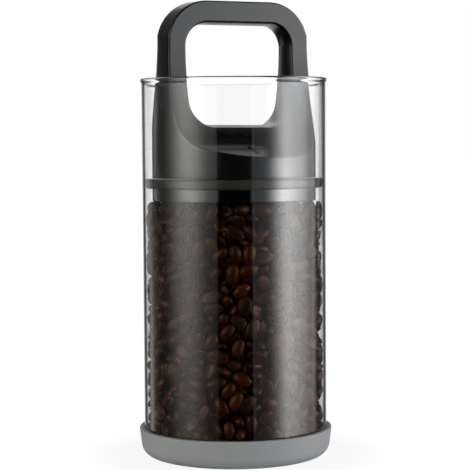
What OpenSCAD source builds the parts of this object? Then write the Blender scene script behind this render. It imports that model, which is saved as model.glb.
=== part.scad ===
// Coffee canister with a push-down valve lid.
// A glass jar stands in a soft boot. The lid is a piston that rests on the coffee.
// Its handle lifts a few millimetres first, which opens the vent, and then lifts the piston.
// Millimetres, +Z up, origin at the centre of the boot's underside, handle bar along X.

/* [Jar] */
// Outer diameter of the glass
jar_d = 100; // [92:1:112]
// Wall thickness of the glass
jar_wall = 1.6; // [1.4:0.1:3]
// Height of the glass, foot to rim
jar_h = 202.8; // [190:0.2:225]
// Thickness of the glass floor
jar_floor = 6; // [4:0.5:10]
// Radius of the glass foot's outer corner
jar_foot_r = 4; // [2:0.5:5]
// Radius of the rounded bead on the rim
rim_bead_r = 1.05; // [0.9:0.05:1.5]

/* [Boot] */
// Wall of the soft boot at its top edge
boot_wall = 2.8; // [2.5:0.1:4]
// Thickness of the boot under the glass
boot_floor = 3; // [2:0.5:5]
// Height of the boot
boot_h = 15.6; // [12:0.2:24]
// How far the boot's wall leans in from its top to its bottom corner
boot_draft = 1.6; // [0.6:0.1:1.8]
// Radius of the boot's bottom corner
boot_corner_r = 7; // [5:0.5:8]
// Depth of the recess under the boot
boot_recess = 0.8; // [0.4:0.1:1.2]
// Width of the ring that the boot stands on
boot_foot_w = 8; // [5:0.5:12]

/* [Piston] */
// Height of the piston's underside above the table, as it rests on the coffee
lid_z = 139.6; // [110:0.2:145]
// Gap between the shell's side and the glass bore
shell_gap = 3.9; // [3.4:0.1:4.8]
// Thickness of the sole plate
sole_t = 2.3; // [1.8:0.1:3]
// Height of the piston plate's rim
plate_h = 4.8; // [4:0.1:6]
// Thickness of the piston plate's web
web_t = 2.2; // [1.8:0.1:2.6]
// Width of the piston plate's rim, under the seal's foot
plate_rim_w = 5.5; // [4.5:0.1:7]
// Height of the wiper seal
seal_h = 5.3; // [4.8:0.1:6]
// Thickness of the seal's clamped foot
seal_foot_t = 1.9; // [1.5:0.1:2.2]
// Gap between the seal's lip and the glass
seal_fit = 0.05; // [0.02:0.01:0.1]
// Radius of the edges of the seal's rubbing band
seal_edge_r = 1.3; // [0.8:0.1:2]
// Width of the clamp ring
clamp_w = 12.3; // [11.5:0.1:13]
// Number of screws that hold the clamp ring
clamp_screws_n = 6; // [4:1:8]
// Number of screws that hold the sole plate
sole_screws_n = 4; // [3:1:6]

/* [Handle shell] */
// Wall thickness of the moulded shell
shell_wall = 2.5; // [2:0.1:3]
// Height of the straight skirt where the scoops are deepest
skirt_h = 11; // [8:0.2:14]
// Thickness of the upright handle slab
slab_t = 15; // [13:0.5:17]
// Width of the handle across its legs
handle_w = 85.5; // [80:0.5:87]
// Height of the handle's top above the piston's underside
handle_h = 107.2; // [98:0.2:120]
// Width of the opening for the fingers
grip_w = 65.5; // [58:0.5:68]
// Height of the handle's bar
bar_h = 11.4; // [9:0.1:14]
// Height of the saddle under the fingers, above the piston's underside
saddle_h = 40.6; // [39:0.2:44]
// Corner radius of the finger opening at the saddle
saddle_r = 11; // [6:0.5:16]
// Corner radius of the finger opening under the bar
bar_inner_r = 13; // [6:0.5:16]
// Outer corner radius of the handle
bar_outer_r = 23.5; // [16:0.5:26]
// Radius of the scoop's long upper curve
scoop_upper_r = 100; // [90:1:110]
// Radius of the scoop's lower curve
scoop_lower_r = 23; // [18:0.5:26]
// Slope of the scoop's flat outer part, in degrees
scoop_slope = 15.5; // [12:0.5:19]
// Tilt of the scoop where its two curves meet, in degrees from upright
scoop_turn = 24.5; // [21:0.5:28]
// Length of the vent slit in the front scoop
slit_l = 7; // [4:0.5:9]
// Width of the vent slit
slit_w = 1.4; // [1:0.1:2.5]

/* [Release valve] */
// How far the handle lifts before it lifts the piston
release_lift = 3; // [2:0.1:4]
// Height of the valve seats above the web
seat_h = 3; // [2.8:0.1:3.4]
// Middle radius of the ring of vent holes
vent_r = 11.25; // [11:0.05:11.8]
// Diameter of a vent hole in the web
vent_hole_d = 3; // [2:0.1:3.2]
// Number of vent holes
vent_holes_n = 8; // [6:1:10]
// Thickness of the soft vent disc
vent_disc_t = 2; // [1.6:0.1:2.4]
// Gap between the vent disc and its seats when it is shut
touch = 0.05; // [0.02:0.01:0.1]
// Diameter of the centre bolt
bolt_d = 6; // [5:0.1:6.4]
// Diameter of the guide pins
pin_d = 4; // [3:0.1:5]
// Distance of each guide pin from the centre
pin_r = 24; // [22:0.5:26]
// Radial gap of each running fit
running_gap = 0.05; // [0.02:0.01:0.1]
// Free gap between the lid's moving pieces at rest
rest_gap = 0.3; // [0.2:0.05:0.5]
// Thickness of the inner cover
cover_t = 2.5; // [2:0.1:3]
// Wire diameter of the return spring
spring_wire = 1.1; // [0.8:0.1:1.3]
// Number of coils of the return spring
spring_turns = 6; // [4:1:7]

/* [Relief valve] */
// Distance of the relief valve from the centre, towards the front
relief_r = 24.2; // [24:0.1:24.5]
// Outer diameter of the relief valve's cage
cage_d = 13; // [12.6:0.1:13.2]
// Diameter of the relief valve's disc
flap_d = 10; // [9:0.1:10.4]
// How far the relief valve's disc lifts
flap_lift = 1.2; // [0.8:0.1:1.5]

/* [Hidden] */
$fn = 96;
eps = 0.01;

// Jar and boot
jar_r = jar_d / 2;
bore_r = jar_r - jar_wall;
jar_foot_z = boot_floor;
jar_inner_z = jar_foot_z + jar_floor;
jar_inner_corner_r = 6;
rim_z = jar_foot_z + jar_h;
boot_top_r = jar_r + boot_wall;
boot_low_r = boot_top_r - boot_draft;
boot_edge_r = 0.7;
boot_fit = 0.05;

// Levels of the piston, above its underside
web_top = sole_t + web_t;
rim_top = sole_t + plate_h;
foot_top = rim_top + seal_foot_t;
seal_top = rim_top + seal_h;
seat_top = web_top + seat_h;
shell_z = seal_top + rest_gap;
cover_top = shell_z + cover_t;
disc_z = seat_top + touch;
disc_top = disc_z + vent_disc_t;

// Rings of the piston
shell_r = bore_r - shell_gap;
sole_edge_r = 1;
seal_out_r = bore_r - seal_fit;
seal_edge_centre_r = seal_out_r - seal_edge_r;
clamp_out_r = shell_r - 0.7;
clamp_in_r = clamp_out_r - clamp_w;
seal_neck_r = clamp_out_r + 0.1;
plate_in_r = shell_r - plate_rim_w;
seal_foot_r = plate_in_r + 0.5;
clamp_screw_r = clamp_in_r + 3.6;
sole_screw_r = clamp_in_r - 1.9;
boss_r = 3.3;
fastener_fit = 0.1;

// Small screws: radius of thread, head radius, head height
small_screw_r = 1.25;
small_head_r = 2.3;
small_head_h = 1.5;
cover_screw_thread_r = 1.5;
cover_head_r = 2.8;
cover_head_h = 1.6;
cover_screw_l = 11;
cover_screw_inset_x = 13.5;
cover_screw_inset_y = 25.5;
cover_screw_x = shell_r - cover_screw_inset_x;
cover_screw_y = shell_r - cover_screw_inset_y;
cover_boss_r = 3.5;

// Valve seats, vent disc and centre bolt
bolt_r = bolt_d / 2;
hub_r = bolt_r + 4.2;
hub_top = web_top + 1.5;
bolt_head_r = hub_r - 2;
bolt_head_h = 1.6;
nut_h = 2.6;
nut_r = bolt_r + 2.1;
seat_w = 1.2;
seat_in_r = hub_r + 0.6;
seat_out_r = 2 * vent_r - seat_in_r;
disc_in_r = seat_in_r - 0.4;
disc_out_r = seat_out_r + 1;
cover_hub_r = disc_out_r + 1.4;
cover_lip_drop = 1.2;
bush_r = bolt_r + 2;
bush_flange_r = bush_r + 2;
bush_flange_t = 1;
cover_r = shell_r - shell_wall - rest_gap;
collar_h = 3;
collar_w = 2;
air_hole_r = 2;
air_ring_r = 28;
air_holes_n = 6;

// Spring, washer and clip on the centre bolt
spring_z = cover_top + bush_flange_t + touch;
spring_len = 15.2;
spring_r = bolt_r + 2;
washer_z = spring_z + spring_len + touch;
washer_t = 1.2;
washer_r = bolt_r + 4.2;
groove_z = washer_z + washer_t;
groove_h = 0.9;
groove_r = bolt_r - 0.7;
clip_t = 0.8;
clip_r = bolt_r + 2.2;
bolt_top = groove_z + groove_h + 1.7;
pin_top = cover_top + release_lift + collar_h + 3;

// Relief valve
cage_r = cage_d / 2;
cage_wall = 1;
cage_top = seal_top - 1.2;
cage_roof_t = 1.2;
relief_seat_h = 0.8;
relief_hole_r = 2.6;
flap_r = flap_d / 2;
flap_t = 1.2;
flap_z = web_top + relief_seat_h + touch;
flap_pin_r = 1.2;
flap_pin_top = cage_top - 0.2;
flap_pin_fit = 0.08;
flap_wire = 0.4;
flap_spring_r = 2.4;
flap_spring_turns = 3;

// Scoops: two arcs and a slope that run from the slab's face out to the skirt
upper_run = scoop_upper_r * (1 - cos(scoop_turn));
lower_run = scoop_lower_r * (cos(scoop_turn) - sin(scoop_slope));
slope_run = shell_r - slab_t / 2 - upper_run - lower_run;
slope_end_z = shell_z + skirt_h + slope_run * tan(scoop_slope);
slope_end_y = slab_t / 2 + upper_run + lower_run;
turn_z = slope_end_z + scoop_lower_r * (cos(scoop_slope) - sin(scoop_turn));
lower_y = slope_end_y + scoop_lower_r * sin(scoop_slope);
lower_z = slope_end_z + scoop_lower_r * cos(scoop_slope);
upper_y = slab_t / 2 + scoop_upper_r;
upper_z = turn_z + scoop_upper_r * sin(scoop_turn);

// Handle
taper_z = saddle_h;
corner_z = handle_h - bar_outer_r;
grip_top = handle_h - bar_h;
leg_core_top = corner_z - 4;
scoop_steps = 12;
reach = 3 * shell_r;

// Places a copy at each of n even steps round a circle, the first one turned by start
module ring_of(n, radius, start = 0) {
    for (i = [0 : n - 1])
        rotate([0, 0, start + i * 360 / n])
            translate([radius, 0, 0])
                children();
}

// Places the children on both sides of the plane y = 0
module front_and_back() {
    children();
    mirror([0, 1, 0]) children();
}

// Places the children on both sides of the plane x = 0
module left_and_right() {
    children();
    mirror([1, 0, 0]) children();
}

// A plain tube standing at height z
module tube(r_out, r_in, z, h) {
    translate([0, 0, z])
        difference() {
            cylinder(r = r_out, h = h);
            translate([0, 0, -1]) cylinder(r = r_in, h = h + 2);
        }
}

// A rod standing at height z
module rod(r, z, h) {
    translate([0, 0, z]) cylinder(r = r, h = h);
}

// A rectangle centred on x = 0 with its lower and upper corners rounded
module rounded_window(w, z_low, z_high, r_low, r_high) {
    left_and_right() {
        translate([w / 2 - r_low, z_low + r_low]) circle(r = r_low);
        translate([w / 2 - r_high, z_high - r_high]) circle(r = r_high);
        translate([-eps, z_low]) square([w / 2 - r_low + eps, z_high - z_low]);
        translate([-eps, z_low]) square([w / 2 - r_high + eps, z_high - z_low]);
        translate([-eps, z_low + r_low]) square([w / 2 + eps, z_high - z_low - r_low - r_high]);
    }
}

// One solid helical wire of round section, closed at both ends
module coil(radius, wire_r, z_low, z_high, turns, sides, steps) {
    n = turns * steps;
    rise = (z_high - z_low - 2 * wire_r) / n;
    points = [for (i = [0 : n]) for (k = [0 : sides - 1])
        let (a = 360 * i / steps, b = 360 * k / sides)
        [(radius + wire_r * cos(b)) * cos(a), (radius + wire_r * cos(b)) * sin(a),
         z_low + wire_r + rise * i + wire_r * sin(b)]];
    skin = [for (i = [0 : n - 1]) for (k = [0 : sides - 1])
        let (j = (k + 1) % sides)
        each [[i * sides + k, i * sides + j, (i + 1) * sides + j],
              [i * sides + k, (i + 1) * sides + j, (i + 1) * sides + k]]];
    low_end = [for (k = [0 : sides - 1]) sides - 1 - k];
    high_end = [for (k = [0 : sides - 1]) n * sides + k];
    polyhedron(points, concat(skin, [low_end, high_end]), convexity = 10);
}

// Everything in the lid is drawn above the piston's underside
module in_lid() {
    translate([0, 0, lid_z]) children();
}

module glass_jar() {
    bead_r = bore_r + rim_bead_r;
    color([0.8, 0.9, 0.9, 0.35])
        rotate_extrude() {
            difference() {
                union() {
                    translate([0, jar_foot_z + jar_foot_r]) square([jar_r, jar_h - jar_foot_r - rim_bead_r]);
                    translate([0, jar_foot_z]) square([jar_r - jar_foot_r, jar_foot_r + eps]);
                    translate([jar_r - jar_foot_r, jar_foot_z + jar_foot_r]) circle(r = jar_foot_r);
                }
                translate([-1, jar_inner_z + jar_inner_corner_r]) square([bore_r + 1, jar_h]);
                translate([-1, jar_inner_z])
                    square([bore_r - jar_inner_corner_r + 1, jar_inner_corner_r + eps]);
                translate([bore_r - jar_inner_corner_r, jar_inner_z + jar_inner_corner_r])
                    circle(r = jar_inner_corner_r);
            }
            translate([bead_r, rim_z - rim_bead_r]) circle(r = rim_bead_r);
        }
}

module base_boot() {
    ring_in_r = boot_low_r - boot_corner_r - boot_foot_w;
    color([0.55, 0.55, 0.55])
        rotate_extrude()
            difference() {
                union() {
                    polygon([[0, 0], [boot_low_r - boot_corner_r, 0], [boot_low_r, boot_corner_r],
                             [boot_top_r, boot_h - boot_edge_r], [boot_top_r - boot_edge_r, boot_h],
                             [0, boot_h]]);
                    translate([boot_low_r - boot_corner_r, boot_corner_r]) circle(r = boot_corner_r);
                    translate([boot_top_r - boot_edge_r, boot_h - boot_edge_r]) circle(r = boot_edge_r);
                }
                translate([-1, jar_foot_z + jar_foot_r]) square([jar_r + boot_fit + 1, boot_h]);
                translate([-1, jar_foot_z]) square([jar_r - jar_foot_r + 1, jar_foot_r + eps]);
                translate([jar_r - jar_foot_r, jar_foot_z + jar_foot_r]) circle(r = jar_foot_r + boot_fit);
                translate([-1, -1]) square([ring_in_r + 1, boot_recess + 1]);
            }
}

module sole_plate() {
    color([0.07, 0.07, 0.08])
        in_lid()
            difference() {
                rotate_extrude() {
                    square([shell_r - sole_edge_r, sole_t]);
                    translate([0, sole_edge_r]) square([shell_r, sole_t - sole_edge_r]);
                    translate([shell_r - sole_edge_r, sole_edge_r]) circle(r = sole_edge_r);
                }
                ring_of(2 * vent_holes_n, vent_r) rod(0.9, -1, sole_t + 2);
                translate([0, -relief_r, 0]) {
                    rod(0.9, -1, sole_t + 2);
                    ring_of(4, relief_hole_r - 0.4) rod(0.9, -1, sole_t + 2);
                }
                ring_of(sole_screws_n, sole_screw_r, 45) {
                    rod(small_screw_r + fastener_fit, -1, sole_t + 2);
                    rod(small_head_r + fastener_fit, -1, small_head_h + 1 + eps);
                }
            }
}

module sole_screws() {
    color([0.7, 0.7, 0.72])
        in_lid()
            ring_of(sole_screws_n, sole_screw_r, 45)
                difference() {
                    union() {
                        rod(small_head_r, 0.2, small_head_h - 0.2);
                        rod(small_screw_r, small_head_h - eps, foot_top - small_head_h - 1.4);
                    }
                    driver_socket(0.2, 0.9);
                }
}

// Six-sided driver socket cut up into a screw head
module driver_socket(z, depth) {
    translate([0, 0, z - 1]) cylinder(r = 1, h = depth + 1, $fn = 6);
}

module piston_plate() {
    boss_h = foot_top - web_top;
    color([0.08, 0.08, 0.09])
        in_lid()
            difference() {
                union() {
                    rod(shell_r, sole_t, web_t);
                    tube(shell_r, plate_in_r, sole_t, plate_h);
                    tube(seat_in_r + seat_w, seat_in_r, web_top - eps, seat_h + eps);
                    tube(seat_out_r, seat_out_r - seat_w, web_top - eps, seat_h + eps);
                    rod(hub_r, web_top - eps, hub_top - web_top + eps);
                    ring_of(clamp_screws_n, clamp_screw_r) rod(boss_r, web_top - eps, boss_h + eps);
                    ring_of(sole_screws_n, sole_screw_r, 45) rod(boss_r, web_top - eps, boss_h - 0.4);
                    left_and_right() translate([pin_r, 0, 0]) rod(pin_d / 2 + 1.8, web_top - eps, boss_h);
                    translate([0, -relief_r, 0]) tube(relief_hole_r + 1, relief_hole_r,
                                                      web_top - eps, relief_seat_h + eps);
                }
                ring_of(vent_holes_n, vent_r, 180 / vent_holes_n)
                    rod(vent_hole_d / 2, sole_t - 1, web_t + 2);
                rod(bolt_r + running_gap, 0, hub_top + 1);
                rod(bolt_head_r + fastener_fit, sole_t - 1, bolt_head_h + 1 + fastener_fit);
                ring_of(clamp_screws_n, clamp_screw_r) rod(small_screw_r, sole_t + 0.8, foot_top);
                ring_of(sole_screws_n, sole_screw_r, 45) rod(small_screw_r, sole_t - 1, foot_top);
                left_and_right() translate([pin_r, 0, 0]) rod(pin_d / 2, sole_t + 0.8, foot_top);
                translate([0, -relief_r, 0]) rod(relief_hole_r, sole_t - 1, web_t + 2);
            }
}

module wiper_seal() {
    color([0.16, 0.16, 0.15])
        in_lid()
            rotate_extrude() {
                translate([seal_foot_r, rim_top]) square([seal_edge_centre_r - seal_foot_r, seal_foot_t]);
                translate([seal_neck_r, rim_top]) square([seal_edge_centre_r - seal_neck_r, seal_h]);
                translate([seal_neck_r, rim_top + seal_edge_r])
                    square([seal_out_r - seal_neck_r, seal_h - 2 * seal_edge_r]);
                for (z = [rim_top + seal_edge_r, seal_top - seal_edge_r])
                    translate([seal_edge_centre_r, z]) circle(r = seal_edge_r);
            }
}

module seal_clamp() {
    color([0.1, 0.1, 0.11])
        in_lid()
            difference() {
                tube(clamp_out_r, clamp_in_r, foot_top, seal_top - foot_top);
                ring_of(clamp_screws_n, clamp_screw_r) {
                    rod(small_screw_r + fastener_fit, foot_top - 1, seal_h);
                    rod(small_head_r + fastener_fit, seal_top - small_head_h, seal_h);
                }
            }
}

module clamp_screws() {
    color([0.7, 0.7, 0.72])
        in_lid()
            ring_of(clamp_screws_n, clamp_screw_r)
                difference() {
                    union() {
                        rod(small_head_r, seal_top - small_head_h, small_head_h - 0.1);
                        rod(small_screw_r, sole_t + 1.2, seal_top - small_head_h - sole_t - 1.2 + eps);
                    }
                    mirror([0, 0, 1]) driver_socket(-seal_top + 0.1, 0.9);
                }
}

module centre_bolt() {
    color([0.72, 0.72, 0.74])
        in_lid()
            difference() {
                union() {
                    rod(bolt_head_r, sole_t + 0.1, bolt_head_h - 0.1);
                    rod(bolt_r, sole_t + bolt_head_h - eps, bolt_top - sole_t - bolt_head_h + eps);
                }
                tube(2 * bolt_r, groove_r, groove_z, groove_h);
            }
}

module hub_nut() {
    color([0.7, 0.7, 0.72])
        in_lid()
            translate([0, 0, hub_top])
                difference() {
                    cylinder(r = nut_r, h = nut_h, $fn = 6);
                    translate([0, 0, -1]) cylinder(r = bolt_r + running_gap, h = nut_h + 2);
                }
}

module guide_pins() {
    color([0.74, 0.74, 0.76])
        in_lid()
            left_and_right()
                translate([pin_r, 0, 0])
                    rod(pin_d / 2 - 0.01, sole_t + 1, pin_top - sole_t - 1);
}

module relief_cage() {
    window_h = 2.6;
    color([0.85, 0.85, 0.83])
        in_lid()
            translate([0, -relief_r, 0])
                difference() {
                    rod(cage_r, web_top, cage_top - web_top);
                    rod(cage_r - cage_wall, web_top - 1, cage_top - web_top - cage_roof_t + 1);
                    rod(flap_pin_r + flap_pin_fit, web_top, cage_top);
                    for (a = [45, 135])
                        rotate([0, 0, a])
                            translate([-cage_r - 1, -1.5, web_top + 1.6]) cube([cage_d + 2, 3, window_h]);
                }
}

module relief_flap() {
    color([0.75, 0.3, 0.2])
        in_lid()
            translate([0, -relief_r, 0]) {
                rod(flap_r, flap_z, flap_t);
                rod(flap_pin_r, flap_z + flap_t - eps, flap_pin_top - flap_z - flap_t);
            }
}

module relief_spring() {
    color([0.8, 0.8, 0.82])
        in_lid()
            translate([0, -relief_r, 0])
                coil(flap_spring_r, flap_wire / 2, flap_z + flap_t + touch,
                     cage_top - cage_roof_t - touch, flap_spring_turns, 5, 12);
}

// Points along an arc, in n steps, with angles in degrees
function arc(cy, cz, r, from, to, n) =
    [for (i = [0 : n]) let (a = from + (to - from) * i / n) [cy + r * cos(a), cz + r * sin(a)]];

// Half of the shell seen from the end of its bar, from the skirt up over both curves of the scoop.
// The inset moves the surface into the shell, for the cavity under it.
function scoop_side(inset, low, high) =
    let (upper_r = scoop_upper_r + inset,
         lower_r = scoop_lower_r + inset,
         foot_y = lower_y - lower_r * sin(scoop_slope),
         foot_z = lower_z - lower_r * cos(scoop_slope),
         far = foot_y + shell_r)
    concat([[far, low], [far, foot_z - (far - foot_y) * tan(scoop_slope)]],
           arc(lower_y, lower_z, lower_r, 270 - scoop_slope, 180 + scoop_turn, scoop_steps),
           arc(upper_y, upper_z, upper_r, 180 + scoop_turn, 180, scoop_steps),
           [[slab_t / 2 - inset, high]]);

// The shell's outside at inset 0, or the space inside its wall
module shell_body(inset) {
    low = inset > 0 ? shell_z - 1 : shell_z;
    high = handle_h + 1;
    half = scoop_side(inset, low, high);
    intersection() {
        rotate_extrude()
            polygon([[0, low], [shell_r - inset, low], [shell_r - inset, taper_z],
                     [handle_w / 2 - inset, corner_z], [handle_w / 2 - inset, high], [0, high]]);
        rotate([90, 0, 0])
            linear_extrude(height = reach, center = true) shell_front(inset, low);
        rotate([90, 0, 90])
            linear_extrude(height = reach, center = true)
                polygon(concat(half, [for (i = [len(half) - 1 : -1 : 0]) [-half[i][0], half[i][1]]]));
    }
}

// Outline of the shell, or of its cavity with the cores of the legs, seen from the front
module shell_front(inset, low) {
    if (inset > 0) {
        translate([-reach / 2, low]) square([reach, saddle_h - inset - low]);
        left_and_right()
            translate([grip_w / 2 + inset, low]) square([shell_r, leg_core_top - low]);
    } else {
        translate([-reach / 2, low]) square([reach, corner_z - low]);
        rounded_window(handle_w, corner_z - 2 * bar_outer_r, handle_h, bar_outer_r, bar_outer_r);
    }
}

module vent_slit() {
    slit_x = -4.4;
    slit_y = -30;
    translate([slit_x, slit_y, shell_z])
        linear_extrude(height = handle_h) {
            square([slit_w, slit_l - slit_w], center = true);
            front_and_back() translate([0, (slit_l - slit_w) / 2]) circle(d = slit_w);
        }
}

module at_cover_screws() {
    left_and_right() front_and_back() translate([cover_screw_x, cover_screw_y, 0]) children();
}

module handle_shell() {
    color([0.13, 0.13, 0.14])
        in_lid()
            difference() {
                shell_body(0);
                difference() {
                    shell_body(shell_wall);
                    at_cover_screws() rod(cover_boss_r, cover_top, handle_h);
                }
                rotate([90, 0, 0])
                    linear_extrude(height = reach, center = true)
                        rounded_window(grip_w, saddle_h, grip_top, saddle_r, bar_inner_r);
                at_cover_screws() rod(cover_screw_thread_r, shell_z, cover_screw_l + 2);
                vent_slit();
            }
}

module inner_cover() {
    color([0.12, 0.12, 0.13])
        in_lid()
            difference() {
                union() {
                    rod(cover_r, shell_z, cover_t);
                    rod(cover_hub_r, disc_top, shell_z - disc_top + eps);
                    tube(cover_hub_r, disc_out_r, disc_top - cover_lip_drop, cover_lip_drop + eps);
                    left_and_right()
                        translate([pin_r, 0, 0])
                            rod(pin_d / 2 + collar_w, cover_top - eps, collar_h);
                }
                rod(bush_r, disc_z, cover_top);
                left_and_right()
                    translate([pin_r, 0, 0]) rod(pin_d / 2 + running_gap, disc_z, pin_top);
                at_cover_screws() {
                    rod(cover_screw_thread_r + fastener_fit, shell_z - 1, cover_t + 2);
                    rod(cover_head_r + fastener_fit, shell_z - 1, cover_head_h + 1);
                }
                ring_of(air_holes_n, air_ring_r, 180 / air_holes_n) rod(air_hole_r, disc_z, cover_top);
            }
}

module cover_screws() {
    color([0.7, 0.7, 0.72])
        in_lid()
            at_cover_screws()
                difference() {
                    union() {
                        rod(cover_head_r, shell_z + 0.1, cover_head_h - 0.1);
                        rod(cover_screw_thread_r, shell_z + cover_head_h - eps, cover_screw_l);
                    }
                    driver_socket(shell_z + 0.1, 0.9);
                }
}

module guide_bush() {
    color([0.78, 0.62, 0.3])
        in_lid()
            difference() {
                union() {
                    rod(bush_r, disc_top, cover_top - disc_top + eps);
                    rod(bush_flange_r, cover_top, bush_flange_t);
                }
                rod(bolt_r + running_gap, disc_z, cover_top);
            }
}

module vent_disc() {
    color([0.75, 0.3, 0.2])
        in_lid() tube(disc_out_r, disc_in_r, disc_z, vent_disc_t);
}

module return_spring() {
    color([0.8, 0.8, 0.82])
        in_lid()
            coil(spring_r, spring_wire / 2, spring_z, spring_z + spring_len, spring_turns, 6, 14);
}

module spring_washer() {
    color([0.72, 0.72, 0.74])
        in_lid() tube(washer_r, bolt_r + running_gap, washer_z, washer_t);
}

module retaining_clip() {
    mouth = 2 * groove_r - 0.6;
    color([0.3, 0.3, 0.32])
        in_lid()
            difference() {
                tube(clip_r, groove_r + running_gap, groove_z + touch, clip_t);
                translate([0, -mouth / 2, groove_z - 1]) cube([2 * clip_r, mouth, clip_t + 2]);
            }
}

glass_jar();
base_boot();
sole_plate();
sole_screws();
piston_plate();
wiper_seal();
seal_clamp();
clamp_screws();
centre_bolt();
hub_nut();
guide_pins();
relief_cage();
relief_spring();
relief_flap();
handle_shell();
inner_cover();
cover_screws();
guide_bush();
vent_disc();
return_spring();
spring_washer();
retaining_clip();
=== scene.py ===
"""Coffee canister with a push-down valve lid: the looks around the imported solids."""

import math

import bmesh
import bpy
import numpy as np
from mathutils import Matrix, Vector


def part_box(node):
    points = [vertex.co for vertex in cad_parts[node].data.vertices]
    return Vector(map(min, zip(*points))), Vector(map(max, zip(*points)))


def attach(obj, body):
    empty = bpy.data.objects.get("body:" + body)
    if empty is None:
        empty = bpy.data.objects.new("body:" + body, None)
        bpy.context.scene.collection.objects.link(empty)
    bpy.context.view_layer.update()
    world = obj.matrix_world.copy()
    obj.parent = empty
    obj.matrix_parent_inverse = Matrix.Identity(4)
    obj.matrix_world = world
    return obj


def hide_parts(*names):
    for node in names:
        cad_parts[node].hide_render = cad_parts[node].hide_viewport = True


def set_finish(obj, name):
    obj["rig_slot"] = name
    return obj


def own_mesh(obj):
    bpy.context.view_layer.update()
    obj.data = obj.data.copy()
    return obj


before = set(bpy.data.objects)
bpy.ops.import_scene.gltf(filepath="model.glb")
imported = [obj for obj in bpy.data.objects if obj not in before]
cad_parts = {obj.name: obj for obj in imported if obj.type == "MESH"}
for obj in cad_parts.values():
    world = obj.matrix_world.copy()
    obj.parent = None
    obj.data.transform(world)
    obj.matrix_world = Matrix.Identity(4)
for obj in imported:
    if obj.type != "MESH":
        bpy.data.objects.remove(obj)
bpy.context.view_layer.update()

MM = 0.001
PHOTO_SIDE = 470
FULL_TURN = 2 * math.pi

# Levels and radii of the solids, in millimetres
BORE_R, JAR_R = 48.4, 50.0
JAR_FOOT_Z, JAR_INNER_Z, RIM_Z = 3.0, 9.0, 205.8
RIM_SWELL, RIM_RUN = 0.75, 2.2
LID_Z = 139.6
SHELL_R = 44.5


# ---------------------------------------------------------------- camera
def add_camera():
    """The photograph's eye: its place, pitch and roll come from the fitted outlines of rim, boot and handle."""
    turn, pitch, roll = math.radians(-28), math.radians(3.854), math.radians(-0.386)
    distance, height, focal_px, sensor = 0.93967, 0.18362, 1722.5, 36
    data = bpy.data.cameras.new("photo_eye")
    data.sensor_width = sensor
    data.lens = focal_px / PHOTO_SIDE * sensor
    data.clip_start, data.clip_end = 0.05, 20
    eye = bpy.data.objects.new("photo_eye", data)
    bpy.context.scene.collection.objects.link(eye)
    eye.location = (distance * math.sin(turn), -distance * math.cos(turn), height)
    look = Matrix.Rotation(turn - math.radians(0.021), 4, "Z") @ Matrix.Rotation(math.pi / 2 - pitch, 4, "X")
    eye.rotation_euler = (look @ Matrix.Rotation(roll, 4, "Z")).to_euler()
    bpy.context.scene.camera = eye


# ---------------------------------------------------------------- node helpers
class Nodes:
    """A node tree with short calls: add a node with its settings, link it and give its plain values."""

    def __init__(self, tree):
        self.tree = tree

    def add(self, kind, inputs=None, **settings):
        node = self.tree.nodes.new(kind)
        for key, value in settings.items():
            setattr(node, key, value)
        for key, value in (inputs or {}).items():
            if isinstance(value, bpy.types.NodeSocket):
                self.tree.links.new(value, node.inputs[key])
            else:
                node.inputs[key].default_value = value
        return node

    def maths(self, operation, a, b=0.0, clamp=False):
        return self.add("ShaderNodeMath", {0: a, 1: b}, operation=operation, use_clamp=clamp).outputs[0]

    def spread(self, value, low, high, to_low=0.0, to_high=1.0):
        """Value carried evenly from low..high to to_low..to_high, and held at both ends."""
        return self.add("ShaderNodeMapRange", {"Value": value, "From Min": low, "From Max": high,
                                               "To Min": to_low, "To Max": to_high}).outputs[0]

    def blend(self, share, a, b):
        node = self.add("ShaderNodeMix", data_type="RGBA")
        for key, value in ((0, share), (6, a), (7, b)):
            if isinstance(value, bpy.types.NodeSocket):
                self.tree.links.new(value, node.inputs[key])
            else:
                node.inputs[key].default_value = value
        return node.outputs[2]

    def noise(self, where, scale, detail=2.0, roughness=0.5):
        return self.add("ShaderNodeTexNoise", {"Vector": where, "Scale": scale, "Detail": detail,
                                               "Roughness": roughness}).outputs[0]


def tint(red, green, blue):
    return (red, green, blue, 1.0)


def new_group(name, inputs, outputs):
    """A shader group with named number inputs and named outputs, and its two end nodes."""
    tree = bpy.data.node_groups.new(name, "ShaderNodeTree")
    for label, value in inputs:
        tree.interface.new_socket(label, in_out="INPUT", socket_type="NodeSocketFloat").default_value = value
    for label in outputs:
        tree.interface.new_socket(label, in_out="OUTPUT", socket_type="NodeSocketFloat")
    nodes = Nodes(tree)
    return nodes, nodes.add("NodeGroupInput"), nodes.add("NodeGroupOutput")


def surface_grain_group():
    """Fine grain and broad unevenness on Object coordinates: height = grain size noise, patches = slow noise."""
    nodes, given, out = new_group("surface_grain", [("Grain Scale", 2500.0), ("Patch Scale", 30.0)],
                                  ["Height", "Patches"])
    where = nodes.add("ShaderNodeTexCoord").outputs["Object"]
    fine = nodes.noise(where, given.outputs["Grain Scale"], 3.0, 0.6)
    slow = nodes.noise(where, given.outputs["Patch Scale"], 3.0, 0.55)
    nodes.tree.links.new(fine, out.inputs["Height"])
    nodes.tree.links.new(nodes.spread(slow, 0.3, 0.7), out.inputs["Patches"])
    return nodes.tree


GRAIN = surface_grain_group()


def new_material(name):
    material = bpy.data.materials.new(name)
    material.use_nodes = True
    material.node_tree.nodes.clear()
    return material, Nodes(material.node_tree)


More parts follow.
